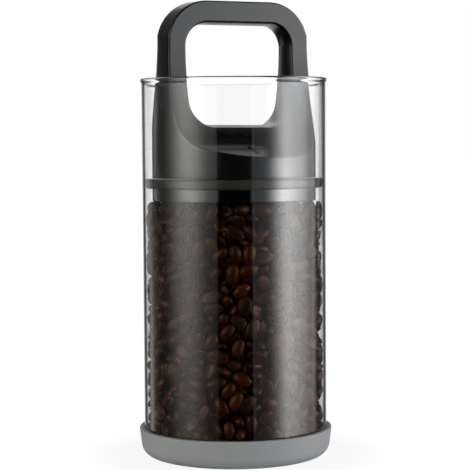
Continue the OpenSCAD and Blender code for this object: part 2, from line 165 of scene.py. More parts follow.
def grained(name, low, high, rough, grain_scale=2500.0, patch_scale=30.0, bump=0.15, bump_depth=0.00004,
            **plain):
    """A moulded or milled surface: colour and roughness drift slowly between two values, with fine grain as bump."""
    material, nodes = new_material(name)
    group = nodes.add("ShaderNodeGroup", node_tree=GRAIN)
    group.inputs["Grain Scale"].default_value = grain_scale
    group.inputs["Patch Scale"].default_value = patch_scale
    patches = group.outputs["Patches"]
    normal = nodes.add("ShaderNodeBump", {"Height": group.outputs["Height"], "Strength": bump,
                                          "Distance": bump_depth}).outputs[0]
    shader = nodes.add("ShaderNodeBsdfPrincipled", {
        "Base Color": nodes.blend(patches, tint(*low), tint(*high)),
        "Roughness": nodes.spread(patches, 0.0, 1.0, rough[0], rough[1]), "Normal": normal})
    for key, value in plain.items():
        shader.inputs[key.replace("_", " ")].default_value = value
    nodes.add("ShaderNodeOutputMaterial", {"Surface": shader.outputs[0]})
    return material


def clear_glass():
    """Clear glass, faintly uneven round its wall. Lamps reach what is inside through its transparent side."""
    material, nodes = new_material("clear_glass")
    where = nodes.add("ShaderNodeTexCoord").outputs["Object"]
    drawn = nodes.add("ShaderNodeVectorMath", {0: where, 1: (1.0, 1.0, 0.04)}, operation="MULTIPLY").outputs[0]
    slow = nodes.noise(drawn, 35.0, 1.0)
    smudge = nodes.noise(where, 60.0, 4.0, 0.6)
    normal = nodes.add("ShaderNodeBump", {"Height": slow, "Strength": 0.05, "Distance": 0.0005}).outputs[0]
    shader = nodes.add("ShaderNodeBsdfPrincipled", {
        "Base Color": nodes.blend(slow, tint(0.992, 0.99, 0.998), tint(0.998, 0.996, 1.0)),
        "Roughness": nodes.spread(smudge, 0.55, 0.8, 0.0, 0.03), "Normal": normal,
        "Transmission Weight": 1.0, "IOR": 1.5})
    clear = nodes.add("ShaderNodeBsdfTransparent", {"Color": tint(0.95, 0.965, 0.96)})
    path = nodes.add("ShaderNodeLightPath")
    lamps = nodes.maths("MAXIMUM", path.outputs["Is Shadow Ray"], path.outputs["Is Diffuse Ray"])
    both = nodes.add("ShaderNodeMixShader", {0: lamps, 1: shader.outputs[0], 2: clear.outputs[0]})
    nodes.add("ShaderNodeOutputMaterial", {"Surface": both.outputs[0]})
    return material


def roasted_bean():
    """Dark glossy roast: a tone for each bean, a darker pale-edged cut along its flat side whose darkening is painted
    shade in that groove, and fine wrinkles.
    """
    material, nodes = new_material("roasted_bean")
    where = nodes.add("ShaderNodeTexCoord").outputs["Object"]
    tone = nodes.add("ShaderNodeAttribute", attribute_name="tone").outputs["Fac"]
    map_point = nodes.add("ShaderNodeUVMap", uv_map="bean").outputs[0]
    along = nodes.add("ShaderNodeSeparateXYZ", {0: map_point})
    wiggle = nodes.spread(nodes.noise(where, 420.0, 1.0), 0.3, 0.7, -0.02, 0.02)
    off_cut = nodes.maths("ABSOLUTE", nodes.maths("SUBTRACT", nodes.maths("ADD", along.outputs[1], wiggle), 0.5))
    # Painted shade: the cut is darkened towards its middle line, in place of the shade inside the groove
    cut = nodes.spread(off_cut, 0.012, 0.04, 1.0, 0.0)
    wrinkle = nodes.noise(where, 480.0, 1.0)
    body = nodes.blend(tone, tint(0.005, 0.0006, 0.0002), tint(0.04, 0.0056, 0.0009))
    body = nodes.blend(nodes.spread(wrinkle, 0.3, 0.75, 0.0, 0.5), body, tint(0.02, 0.003, 0.0006))
    # The cut's dark colour is painted shade in the groove, not the bean's own colour
    colour = nodes.blend(cut, body, tint(0.004, 0.0016, 0.001))
    height = nodes.maths("SUBTRACT", nodes.maths("MULTIPLY", wrinkle, 0.4), cut)
    normal = nodes.add("ShaderNodeBump", {"Height": height, "Strength": 0.14, "Distance": 0.0004}).outputs[0]
    shader = nodes.add("ShaderNodeBsdfPrincipled", {
        "Base Color": colour, "Roughness": nodes.spread(wrinkle, 0.2, 0.8, 0.3, 0.42), "Normal": normal,
        "Specular IOR Level": 0.4, "Specular Tint": tint(1.0, 0.55, 0.3)})
    nodes.add("ShaderNodeOutputMaterial", {"Surface": shader.outputs[0]})
    return material


def brushed(name, colour, rough, stretch=(1.0, 1.0, 60.0)):
    """Turned or drawn metal: fine streaks across the stretched axis vary roughness and bump."""
    material, nodes = new_material(name)
    where = nodes.add("ShaderNodeTexCoord").outputs["Object"]
    drawn = nodes.add("ShaderNodeVectorMath", {0: where, 1: stretch}, operation="MULTIPLY").outputs[0]
    streak = nodes.noise(drawn, 260.0, 3.0, 0.7)
    normal = nodes.add("ShaderNodeBump", {"Height": streak, "Strength": 0.12, "Distance": 0.00005}).outputs[0]
    darker = tint(*(0.8 * part for part in colour))
    shader = nodes.add("ShaderNodeBsdfPrincipled", {
        "Base Color": nodes.blend(streak, darker, tint(*colour)), "Metallic": 1.0,
        "Roughness": nodes.spread(streak, 0.25, 0.75, rough, rough + 0.15), "Normal": normal})
    nodes.add("ShaderNodeOutputMaterial", {"Surface": shader.outputs[0]})
    return material


# ---------------------------------------------------------------- mesh helpers
def new_piece(name, points, faces, body, slot, material, replaced=()):
    """A smooth mesh from points in millimetres and its faces, riding on a body."""
    mesh = bpy.data.meshes.new(name)
    mesh.from_pydata((points * MM).tolist(), [], faces)
    mesh.shade_smooth()
    mesh.materials.append(material)
    piece = bpy.data.objects.new(name, mesh)
    bpy.context.scene.collection.objects.link(piece)
    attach(piece, body)
    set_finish(piece, slot)
    if replaced:
        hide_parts(*replaced)
    return piece


def rounded_profile(corners, steps=6, support=0.35):
    """A line through corners (r, z, radius): each corner becomes an arc that touches both of its sides,
    with one more point a little before and after the arc, so that the flats shade flat."""
    corners = np.array(corners, float)
    line = [corners[0, :2]]
    for before, here, after in zip(corners[:-2], corners[1:-1], corners[2:]):
        point, radius = here[:2], here[2]
        back, ahead = before[:2] - point, after[:2] - point
        room = min(np.linalg.norm(back), np.linalg.norm(ahead))
        back, ahead = back / np.linalg.norm(back), ahead / np.linalg.norm(ahead)
        half = math.acos(np.clip(back @ ahead, -1, 1)) / 2
        reach = radius / math.tan(half)
        centre = point + (back + ahead) / np.linalg.norm(back + ahead) * radius / math.sin(half)
        start, end = point + back * reach - centre, point + ahead * reach - centre
        share = np.linspace(0, 1, steps + 1)[:, None]
        sweep = math.pi - 2 * half
        arc = (np.sin((1 - share) * sweep) * start + np.sin(share * sweep) * end) / math.sin(sweep)
        extra = min(support, 0.4 * (room - reach)) if room > reach else 0
        line += [point + back * (reach + extra)] if extra > 0 else []
        line += list(centre + arc)
        line += [point + ahead * (reach + extra)] if extra > 0 else []
    line.append(corners[-1, :2])
    return np.array(line)


def lathe(profile, sides=180):
    """Points and faces of a profile (r, z) turned about the axis: x = r cos a, y = r sin a. A profile that starts
    and ends on the axis is closed there by two poles, and any other one is closed on itself."""
    on_axis = profile[0, 0] < 1e-9 and profile[-1, 0] < 1e-9
    rings = profile[1:-1] if on_axis else profile
    angle = np.arange(sides) * FULL_TURN / sides
    points = np.stack([rings[:, :1] * np.cos(angle), rings[:, :1] * np.sin(angle),
                       np.repeat(rings[:, 1:], sides, 1)], -1).reshape(-1, 3)
    count = len(rings)
    row = np.arange(count - 1 if on_axis else count)[:, None]
    col = np.arange(sides)[None, :]
    nxt, up = (col + 1) % sides, (row + 1) % count
    faces = np.stack(np.broadcast_arrays(row * sides + col, row * sides + nxt, up * sides + nxt,
                                         up * sides + col), -1).reshape(-1, 4).tolist()
    if on_axis:
        low, high, last = len(points), len(points) + 1, (count - 1) * sides
        points = np.vstack([points, [[0, 0, profile[0, 1]], [0, 0, profile[-1, 1]]]])
        faces += [[low, (k + 1) % sides, k] for k in range(sides)]
        faces += [[high, last + k, last + (k + 1) % sides] for k in range(sides)]
    return points, faces


# ---------------------------------------------------------------- jar and boot
def jar_profile():
    """From the middle of the foot out, up the wall, out to the swollen rim, round it and down inside to the middle of
    the floor. The rim swells outwards by RIM_SWELL along a cosine, and ends in a half round."""
    half_wall = (JAR_R + RIM_SWELL - BORE_R) / 2
    round_z = RIM_Z - half_wall
    share = np.linspace(0, 1, 10)[1:]
    swell = np.stack([JAR_R + RIM_SWELL * (1 - np.cos(math.pi * share)) / 2, round_z - RIM_RUN * (1 - share)], -1)
    angle = np.linspace(0, math.pi, 17)[1:]
    rim = np.stack([BORE_R + half_wall + half_wall * np.cos(angle), round_z + half_wall * np.sin(angle)], -1)
    outside = rounded_profile([(0, JAR_FOOT_Z, 0), (JAR_R, JAR_FOOT_Z, 4), (JAR_R, round_z - RIM_RUN, 0)], 10)
    inside = rounded_profile([(BORE_R, round_z - 0.4, 0), (BORE_R, JAR_INNER_Z, 6), (0, JAR_INNER_Z, 0)], 12)
    return np.vstack([outside, swell, rim, inside])


def boot_profile():
    """The soft boot: recessed underside, standing ring, rounded corner, wall that leans out, and the jar's seat."""
    return rounded_profile([(0, 0.8, 0), (36.2, 0.8, 0.3), (36.2, 0, 0.3), (50.76, 0, 7), (52.8, 15.6, 0.7),
                            (50.05, 15.6, 0.25), (50.05, 3, 4.05), (0, 3, 0)], 7)


# ---------------------------------------------------------------- handle shell
SHELL_LOW_Z, SHELL_WALL = LID_Z + 12.7, 2.5
SADDLE_Z, GRIP_TOP_Z, HANDLE_TOP_Z = LID_Z + 39.95, LID_Z + 95.8, LID_Z + 107.2
GRIP_HALF, HANDLE_HALF, SLAB_HALF = 32.5, 42.75, 7.5
SADDLE_R, BAR_INNER_R, BAR_OUTER_R = 13.5, 13.0, 23.5
CORNER_Z = HANDLE_TOP_Z - BAR_OUTER_R
SCOOP_UPPER_R, SCOOP_LOWER_R, SCOOP_SLOPE, SCOOP_TURN = 100.0, 21.5, math.radians(18), math.radians(24.5)
SKIRT_TOP_Z = SHELL_LOW_Z + 11.3
SLIT_STATIONS, SLIT_NEAR, SLIT_FAR, SLIT_DEPTH = [5, 6], 27.6, 37.6, 2.4
PINHOLE_NEAR, PINHOLE_FAR = 22.6, 24.3


def scoop_curve():
    """Half thickness and height along the scoop from its foot up, with the length run so far: a slope, then an arc
    that hollows it, then a long arc that ends upright on the slab's face."""
    upper_run = SCOOP_UPPER_R * (1 - math.cos(SCOOP_TURN))
    lower_run = SCOOP_LOWER_R * (math.cos(SCOOP_TURN) - math.sin(SCOOP_SLOPE))
    slope_run = SHELL_R - SLAB_HALF - upper_run - lower_run
    slope_z = SKIRT_TOP_Z + slope_run * math.tan(SCOOP_SLOPE)
    low, high = np.linspace(-math.pi / 2 - SCOOP_SLOPE, -math.pi + SCOOP_TURN, 60), np.linspace(SCOOP_TURN, 0, 120)
    low_y = SLAB_HALF + upper_run + lower_run + SCOOP_LOWER_R * math.sin(SCOOP_SLOPE)
    low_z = slope_z + SCOOP_LOWER_R * math.cos(SCOOP_SLOPE)
    turn_z = low_z - SCOOP_LOWER_R * math.sin(SCOOP_TURN)
    high_z = turn_z + SCOOP_UPPER_R * math.sin(SCOOP_TURN)
    half = np.concatenate([np.linspace(SHELL_R + 3, SLAB_HALF + upper_run + lower_run, 30)[:-1],
                           low_y + SCOOP_LOWER_R * np.cos(low), SLAB_HALF + SCOOP_UPPER_R * (1 - np.cos(high))[1:],
                           [SLAB_HALF]])
    height = np.concatenate([slope_z - (half[:29] - half[29]) * math.tan(SCOOP_SLOPE),
                             low_z + SCOOP_LOWER_R * np.sin(low), (high_z - SCOOP_UPPER_R * np.sin(high))[1:],
                             [HANDLE_TOP_Z + 5]])
    run = np.concatenate([[0], np.cumsum(np.hypot(np.diff(half), np.diff(height)))])
    return half, height, run


CURVE_HALF, CURVE_Z, CURVE_RUN = scoop_curve()


def half_at(z):
    return np.interp(z, CURVE_Z, CURVE_HALF)


def half_slope(z):
    return (half_at(z + 0.02) - half_at(z - 0.02)) / 0.04


def side_radius(z):
    """Radius of the shell's side: upright up to the saddle, then leaning in to the handle's corners."""
    return np.interp(z, [SADDLE_Z, CORNER_Z], [SHELL_R, HANDLE_HALF])


def unit(vectors):
    return vectors / np.linalg.norm(vectors, axis=-1, keepdims=True)


def rounding(corner, back, ahead, radius, steps=5):
    """Arcs that round many corners at once. Each touches the line back and the line ahead of its corner."""
    half = np.arccos(np.clip((back * ahead).sum(-1), -1, 1))[:, None] / 2
    centre = corner + unit(back + ahead) * radius[:, None] / np.sin(half)
    start = corner + back * radius[:, None] / np.tan(half) - centre
    end = corner + ahead * radius[:, None] / np.tan(half) - centre
    sweep = (math.pi - 2 * half)[:, :, None]
    share = np.linspace(0, 1, steps + 1)[None, :, None]
    arc = (np.sin((1 - share) * sweep) * start[:, None] + np.sin(share * sweep) * end[:, None]) / np.sin(sweep)
    return centre[:, None] + arc


def shell_stations():
    """Pairs of points (x, z) on the finger opening and on the outer edge, from the middle of the saddle to the right,
    up the leg and over to the middle of the bar, with the opening's inward direction and the edge's corner limit."""
    flat = np.array([0, 1.8, 3.4, 4.6, 4.95, 5.3, 5.85, 6.2, 6.8, 8, 9.5, 11, 13, 15, 17, 18.6])
    bend = np.linspace(0, math.pi / 2, 13)
    leg_z = np.linspace(SADDLE_Z + SADDLE_R, GRIP_TOP_Z - BAR_INNER_R, 12)[1:]
    turn = np.linspace(0, math.pi / 2, 15)[1:]
    bar = np.linspace(GRIP_HALF - BAR_INNER_R - 0.4, 0, 8)[1:]
    saddle_x, inner_x = GRIP_HALF - SADDLE_R, GRIP_HALF - BAR_INNER_R
    opening = np.concatenate([
        np.stack([flat, np.full(len(flat), SADDLE_Z)], -1),
        np.stack([saddle_x + SADDLE_R * np.sin(bend), SADDLE_Z + SADDLE_R * (1 - np.cos(bend))], -1),
        np.stack([np.full(len(leg_z), GRIP_HALF), leg_z], -1),
        np.stack([inner_x + BAR_INNER_R * np.cos(turn), GRIP_TOP_Z + BAR_INNER_R * (np.sin(turn) - 1)], -1),
        np.stack([bar, np.full(len(bar), GRIP_TOP_Z)], -1)])
    inward = np.concatenate([
        np.tile([0.0, 1.0], (len(flat), 1)), np.stack([-np.sin(bend), np.cos(bend)], -1),
        np.tile([-1.0, 0.0], (len(leg_z), 1)), -np.stack([np.cos(turn), np.sin(turn)], -1),
        np.tile([0.0, -1.0], (len(bar), 1))])
    # The outer edge up to the leg: where the scoop meets the side, by even steps of its length round the bend
    edge_z = np.linspace(SKIRT_TOP_Z, SADDLE_Z + SADDLE_R, 400)
    edge_x = np.sqrt(np.clip(side_radius(edge_z) ** 2 - half_at(edge_z) ** 2, 0, None))
    length = np.concatenate([[0], np.cumsum(np.sqrt(np.diff(edge_x) ** 2 + np.diff(edge_z) ** 2
                                                    + np.diff(half_at(edge_z)) ** 2))])
    start = np.interp(saddle_x, edge_x, length)
    bend_z = np.interp(start + (length[-1] - start) * bend / bend[-1], length, edge_z)
    outer_z = np.concatenate([np.interp(flat, edge_x, edge_z), bend_z, leg_z,
                              CORNER_Z + BAR_OUTER_R * np.sin(turn), np.full(len(bar), HANDLE_TOP_Z)])
    limit = np.concatenate([np.full(len(flat) + len(bend) + len(leg_z), 99.0),
                            HANDLE_HALF - BAR_OUTER_R * (1 - np.cos(turn)), bar])
    side_x = np.sqrt(np.clip(side_radius(outer_z) ** 2 - half_at(outer_z) ** 2, 0, None))
    outer_x = np.minimum(side_x, limit)
    outer_x[:len(flat)] = flat
    return opening, inward, np.stack([outer_x, outer_z], -1), limit, len(flat) + len(bend)


def shell_front():
    """The front skin, from the rounded edge of the opening out over the scoop to the rounded outer edge, as rows of
    3-D points for the right-hand stations."""
    opening, inward, outer, limit, low_count = shell_stations()
    z, half = opening[:, 1], half_at(opening[:, 1])
    near_saddle = np.clip((SADDLE_Z + SADDLE_R + 6 - z) / 14, 0, 1)
    crown = 1.25 + 0.65 * near_saddle
    corner = np.stack([opening[:, 0], -half, z], -1)
    zero = np.zeros(len(z))
    lean = 2 * crown / half
    back = unit(np.stack([inward[:, 0] * lean, zero + 1, inward[:, 1] * lean], -1))
    ahead = unit(np.stack([-inward[:, 0], half_slope(z) * inward[:, 1], -inward[:, 1]], -1))
    near_bar = np.clip((z - GRIP_TOP_Z + BAR_INNER_R) / BAR_INNER_R, 0, 1)
    inner_edge = rounding(corner, back, ahead, 0.6 + 0.6 * near_saddle + 0.7 * near_bar)

    z, half = outer[:, 1], half_at(outer[:, 1])
    half[:2] = np.sqrt(SHELL_R ** 2 - outer[:2, 0] ** 2)
    corner = np.stack([outer[:, 0], -half, z], -1)
    face = unit(np.stack([zero, zero - 1, -half_slope(z)], -1))
    radius = side_radius(z)
    on_side = np.stack([outer[:, 0] / radius, -half / radius, zero], -1)
    turn = np.arctan2(z - CORNER_Z, outer[:, 0] - (HANDLE_HALF - BAR_OUTER_R))
    turn = np.where(outer[:, 0] < HANDLE_HALF - BAR_OUTER_R, math.pi / 2, turn)
    on_corner = np.stack([np.cos(turn), zero, np.sin(turn)], -1)
    cut = (limit < np.sqrt(np.clip(radius ** 2 - half ** 2, 0, None)))[:, None]
    side = unit(np.where(cut, on_corner, on_side))
    mirrored = np.vstack([corner[1:2] * [-1, 1, 1], corner, corner[-2:-1] * [-1, 1, 1]])
    along = unit(mirrored[2:] - mirrored[:-2])
    back, ahead = unit(np.cross(face, along)), unit(np.cross(side, along))
    back *= -np.sign((back * side).sum(-1))[:, None]
    ahead *= -np.sign((ahead * face).sum(-1))[:, None]
    outer_edge = rounding(corner, back, ahead, np.full(len(z), 0.8))

    share = np.concatenate([[0.02], np.linspace(0, 1, 45)[1:-1], [0.985]])[None, :]
    first, last = inner_edge[:, -1], outer_edge[:, 0]
    run = np.interp(first[:, 2], CURVE_Z, CURVE_RUN)[:, None] * (1 - share) \
        + np.interp(last[:, 2], CURVE_Z, CURVE_RUN)[:, None] * share
    middle = np.stack([first[:, :1] * (1 - share) + last[:, :1] * share, -np.interp(run, CURVE_RUN, CURVE_HALF),
                       np.interp(run, CURVE_RUN, CURVE_Z)], -1)
    return inner_edge, middle, outer_edge, opening, inward, crown, limit, low_count


def grid_faces(rows, columns, first=0, closed=False):
    """Quads between neighbours of a grid of points, which may close on itself across its columns."""
    across = columns if closed else columns - 1
    row, col = np.arange(rows - 1)[:, None], np.arange(across)[None, :]
    nxt = (col + 1) % columns
    quads = np.stack(np.broadcast_arrays(row * columns + col, row * columns + nxt, (row + 1) * columns + nxt,
                                         (row + 1) * columns + col), -1)
    return (quads.reshape(-1, 4) + first).tolist()


def handle_shell():
    """Points and faces of the moulded shell: skins on both faces, the crowned wall of the finger opening, the side
    wall of the handle, the skirt, and the hollow underneath."""
    inner_edge, middle, outer_edge, opening, inward, crown, limit, low_count = shell_front()
    patches = []
    skin = np.concatenate([inner_edge, middle, outer_edge], 1)

    # The opening's wall between the two skins, bowed into the opening by its crown
    half = half_at(opening[:, 1])
    share = np.linspace(0, 1, 9)[None, :]
    y = inner_edge[:, :1, 1] * (1 - share) - inner_edge[:, :1, 1] * share
    bow = crown[:, None] * (1 - (y / half[:, None]) ** 2)
    wall = np.stack([opening[:, :1] + inward[:, :1] * bow, y, opening[:, 1:] + inward[:, 1:] * bow], -1)
    wall[:, 0], wall[:, -1] = inner_edge[:, 0], inner_edge[:, 0] * [1, -1, 1]
    patches.append(wall)

    # The side wall of leg and bar, from the front skin's edge round to the back skin's edge
    end = outer_edge[low_count - 1:, -1]
    y = end[:, 1:2] * (1 - share) - end[:, 1:2] * share
    z = np.repeat(end[:, 2:], y.shape[1], 1)
    bulge = np.interp(z, [SADDLE_Z + 5, SADDLE_Z + 35], [1, 0.2])
    round_x = np.sqrt(side_radius(z) ** 2 - y ** 2)
    x = np.minimum(end[:, :1] + (round_x - round_x[:, :1]) * bulge, limit[low_count - 1:, None])
    side = np.stack([x, y, z], -1)
    side[:, 0], side[:, -1] = end, end * [1, -1, 1]
    patches.append(side)

    # The skirt under the skin's edge and under the side wall, down to its rounded foot, and the hollow inside
    foot = 0.5
    top = np.vstack([outer_edge[:low_count, -1], side[0, 1:-1], outer_edge[low_count - 1::-1, -1] * [1, -1, 1]])
    azimuth = np.arctan2(top[:, 1], top[:, 0])[:, None]
    share = np.linspace(0, 1, 8)[None, :]
    z = top[:, 2:] * (1 - share) + (SHELL_LOW_Z + foot) * share
    around = np.stack([side_radius(z) * np.cos(azimuth), side_radius(z) * np.sin(azimuth), z], -1)
    around[:, 0] = top
    patches.append(around)
    bend = np.linspace(0, math.pi / 2, 5)[None, :]
    inner_r = SHELL_R - SHELL_WALL
    low_r = np.concatenate([SHELL_R - foot + foot * np.cos(bend), [[inner_r + 0.3, inner_r]]], 1)
    low_z = np.concatenate([SHELL_LOW_Z + foot - foot * np.sin(bend), [[SHELL_LOW_Z, SHELL_LOW_Z + 0.3]]], 1)
    rest = np.linspace(inner_r, 0.0, 15)[None, :]
    depth = np.abs(rest * np.sin(azimuth))
    slope = np.gradient(CURVE_Z[::-1], CURVE_HALF[::-1] + np.arange(len(CURVE_HALF)) * 1e-9)
    roof = CURVE_Z[::-1] - SHELL_WALL * np.sqrt(1 + np.clip(slope, -6, 6) ** 2)
    rest_z = np.minimum(np.interp(depth, CURVE_HALF[::-1], roof), SADDLE_Z - SHELL_WALL)
    ring_r = np.concatenate([np.broadcast_to(low_r, (len(azimuth), low_r.shape[1])),
                             np.broadcast_to(rest, (len(azimuth), rest.shape[1]))], 1)
    ring_z = np.concatenate([np.broadcast_to(low_z, (len(azimuth), low_z.shape[1])), rest_z], 1)
    patches.append(np.stack([ring_r * np.cos(azimuth), ring_r * np.sin(azimuth), ring_z], -1))

    back = skin * [1, -1, 1]
    left = [patch * [-1, 1, 1] for patch in [skin, back] + patches]
    # The vent slit pressed into the front scoop, and the pinhole above it on the same line
    groove = left[0][SLIT_STATIONS]
    forward = -groove[:, :, 1]
    for near, far in ((SLIT_NEAR, SLIT_FAR), (PINHOLE_NEAR, PINHOLE_FAR)):
        groove += ((forward > near) & (forward < far))[:, :, None] * np.array([0, 0.6, -SLIT_DEPTH])
    left[0][SLIT_STATIONS] = groove
    points, faces, first = [], [], 0
    for patch in [skin, back] + patches + left:
        points.append(patch.reshape(-1, 3))
        faces += grid_faces(patch.shape[0], patch.shape[1], first)
        first += patch.shape[0] * patch.shape[1]
    return np.vstack(points), faces


def weld(piece, reach=0.00001):
    """Joins the patches of a piece along their shared edges and turns all faces outwards."""
    shape = bmesh.new()
    shape.from_mesh(piece.data)
    bmesh.ops.remove_doubles(shape, verts=shape.verts, dist=reach)
    bmesh.ops.dissolve_degenerate(shape, edges=shape.edges, dist=reach / 2)
    bmesh.ops.recalc_face_normals(shape, faces=shape.faces)
    shape.to_mesh(piece.data)
    shape.free()


# ---------------------------------------------------------------- springs
RELEASE_WIRE, FLAP_WIRE = 0.55, 0.2


def wound_spring(name, node, turns, wire_r):
    """A coil spring in its node's place: a round wire of radius wire_r whose middle line climbs evenly as it turns,
    closed at both tips."""
    low, high = (np.array(corner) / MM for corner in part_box(node))
    middle, coil_r, length = (low + high) / 2, (high[0] - low[0]) / 2 - wire_r, high[2] - low[2]
    angle = np.linspace(0, turns * FULL_TURN, turns * 30 + 1)[:, None]
    sides = 10
    around = (np.arange(sides) * FULL_TURN / sides)[None, :]
    reach = coil_r + wire_r * np.cos(around)
    height = low[2] + wire_r + (length - 2 * wire_r) * angle / angle[-1] + wire_r * np.sin(around)
    points = np.stack([middle[0] + reach * np.cos(angle), middle[1] + reach * np.sin(angle), height], -1)
    faces = grid_faces(len(angle), sides, closed=True)
    faces += [list(range(sides)), [len(points) * sides - 1 - side for side in range(sides)]]
    spring = new_piece(name, points.reshape(-1, 3), faces, "piston", "spring_steel", SPRING, [node])
    weld(spring)
    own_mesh(spring)


# ---------------------------------------------------------------- beans
BEAN_LONG, BEAN_WIDE, BEAN_BACK, BEAN_FLAT = 5.6, 3.75, 2.9, 1.6
BALL_R, BALL_GAP = 2.85, 2.6
BEAN_TOP = LID_Z - 0.1
CORE_R, CORE_TOP = 31.0, 125.0


def close_pairs(balls, reach):
    """All pairs of balls of different beans whose centres are nearer than reach."""
    found = []
    squares = (balls ** 2).sum(1)
    for start in range(0, len(balls), 800):
        part = slice(start, start + 800)
        apart = squares[part, None] + squares[None, :] - 2 * balls[part] @ balls.T
        one, two = np.nonzero(apart < reach ** 2)
        one = one + start
        keep = (one < two) & (one // 3 != two // 3)
        found.append(np.stack([one[keep], two[keep]]))
    return np.concatenate(found, 1)


def settle_beans(rng, count, rounds=56):
    """Centres and long axes of beans packed in a thick ring along the glass and in a layer under the lid.
    Each bean is three balls in a row. Balls that overlap push each other apart, walls push them back in,
    and the bean moves and turns by the mean of these pushes."""
    offsets = np.array([-BALL_GAP, 0, BALL_GAP])
    ring_share = 0.95
    in_ring = rng.random(count) < ring_share
    low_r = np.where(in_ring, CORE_R, 0.0)
    radius = np.sqrt(low_r ** 2 + rng.random(count) * ((BORE_R - 3) ** 2 - low_r ** 2))
    angle = rng.random(count) * FULL_TURN
    low_z = np.where(in_ring, JAR_INNER_Z + 3, CORE_TOP)
    centre = np.stack([radius * np.cos(angle), radius * np.sin(angle),
                       low_z + rng.random(count) * (BEAN_TOP - 3 - low_z)], -1)
    along = rng.normal(size=(count, 3))
    along /= np.linalg.norm(along, axis=1)[:, None]
    for step in range(rounds):
        balls = (centre[:, None] + offsets[None, :, None] * along[:, None]).reshape(-1, 3)
        if step % 7 == 0:
            one, two = close_pairs(balls, 2 * BALL_R + 2.5)
        line = balls[two] - balls[one]
        apart = np.linalg.norm(line, axis=1) + 1e-9
        push = line * (np.clip(2 * BALL_R - apart, 0, None) / apart * 0.5)[:, None]
        move = np.stack([np.bincount(two, push[:, k], len(balls)) - np.bincount(one, push[:, k], len(balls))
                         for k in range(3)], -1)
        out = np.linalg.norm(balls[:, :2], axis=1) + 1e-9
        radial = balls[:, :2] / out[:, None]
        move[:, :2] -= radial * np.clip(out + BALL_R - BORE_R, 0, None)[:, None] * 1.5
        move[:, 2] += np.clip(JAR_INNER_Z + BALL_R - balls[:, 2], 0, None) * 1.5
        move[:, 2] -= np.clip(balls[:, 2] + BALL_R - BEAN_TOP, 0, None) * 1.5
        into, under = CORE_R - out, CORE_TOP - balls[:, 2]
        inside = (into > 0) & (under > 0)
        up = inside & (under < into)
        move[:, :2] += radial * np.where(inside & ~up, into, 0)[:, None]
        move[:, 2] += np.where(up, under, 0)
        move = move.reshape(-1, 3, 3)
        centre = centre + move.mean(1)
        along = along + (offsets[None, :, None] * move).sum(1) / (offsets ** 2).sum()
        along /= np.linalg.norm(along, axis=1)[:, None]
    return centre, along


def bean_shape(rings=6, sides=9):
    """One bean about its middle: long axis x, width y, rounded back +z and flat side -z with a notch along it.
    Rings shrink to both ends as (1 - u^2)^0.43."""
    place = np.cos(np.linspace(math.pi, 0, rings + 2))[1:-1]
    angle = -math.pi / 2 + np.arange(sides) * FULL_TURN / sides
    wide, deep = np.cos(angle), np.sin(angle)
    height = np.where(deep > 0, BEAN_BACK * np.abs(deep), -BEAN_FLAT * np.abs(deep) ** 0.5)
    height = height + np.where(np.arange(sides) == 0, 0.75, 0)
    size = (1 - place ** 2) ** 0.43
    ring = np.stack([np.repeat(place[:, None] * BEAN_LONG, sides, 1), size[:, None] * wide * BEAN_WIDE,
                     size[:, None] * height], -1).reshape(-1, 3)
    points = np.vstack([ring, [[-BEAN_LONG, 0, 0], [BEAN_LONG, 0, 0]]])
    around = (0.5 + np.arange(sides + 1) / sides)
    faces, uvs = [], []
    for i in range(rings - 1):
        for k in range(sides):
            n = (k + 1) % sides
            faces.append([i * sides + k, (i + 1) * sides + k, (i + 1) * sides + n, i * sides + n])
            uvs += [(i, around[k]), (i + 1, around[k]), (i + 1, around[k + 1]), (i, around[k + 1])]
    for k in range(sides):
        n = (k + 1) % sides
        faces.append([rings * sides, k, n])
        uvs += [(-1, around[k]), (0, around[k]), (0, around[k + 1])]
        faces.append([rings * sides + 1, (rings - 1) * sides + n, (rings - 1) * sides + k])
        uvs += [(rings, around[k]), (rings - 1, around[k + 1]), (rings - 1, around[k])]
    uvs = np.array(uvs, float)
    uvs[:, 0] = (uvs[:, 0] + 1) / (rings + 1)
    uvs[:, 1] = np.where(uvs[:, 1] > 1, uvs[:, 1] - 1, uvs[:, 1])
    return points, faces, uvs


def bean_fill(material):
    """All beans as one piece: each copy of the shape is turned to its long axis, with its thin way towards the glass."""
    rng = np.random.default_rng(11)
    count = 1560
    centre, along = settle_beans(rng, count)
    outward = np.concatenate([centre[:, :2], np.zeros((count, 1))], 1) + rng.normal(size=(count, 3)) * 12
    side = np.cross(outward, along)
    side /= np.linalg.norm(side, axis=1)[:, None]
    thin = np.cross(along, side) * np.where(rng.random(count) < 0.5, 1, -1)[:, None]
    side = np.cross(thin, along)
    shape, faces, uvs = bean_shape()
    size = rng.uniform(0.9, 1.08, (count, 1, 1))
    frame_axes = np.stack([along, side, thin], 1)
    points = centre[:, None] + size * np.einsum("pk,nkc->npc", shape, frame_axes)
    out = np.linalg.norm(points[:, :, :2], axis=2)
    over = np.clip(out.max(1) - (BORE_R - 0.15), 0, None)
    radial = centre[:, :2] / (np.linalg.norm(centre[:, :2], axis=1)[:, None] + 1e-9)
    points[:, :, :2] -= (radial * over[:, None])[:, None]
    points[:, :, 2] -= np.clip(points[:, :, 2].max(1) - BEAN_TOP, 0, None)[:, None]
    points[:, :, 2] += np.clip(JAR_INNER_Z + 0.1 - points[:, :, 2].min(1), 0, None)[:, None]
    per = len(shape)
    all_faces = [[v + n * per for v in face] for n in range(count) for face in faces]
    piece = new_piece("coffee_beans", points.reshape(-1, 3), all_faces, "canister", "beans", material)
    del piece["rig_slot"]
    mesh = piece.data
    tone = mesh.attributes.new("tone", "FLOAT", "POINT")
    tone.data.foreach_set("value", np.repeat(rng.random(count), per).astype(np.float32))
    layer = mesh.uv_layers.new(name="bean")
    layer.data.foreach_set("uv", np.tile(uvs, (count, 1)).astype(np.float32).ravel())
    return piece


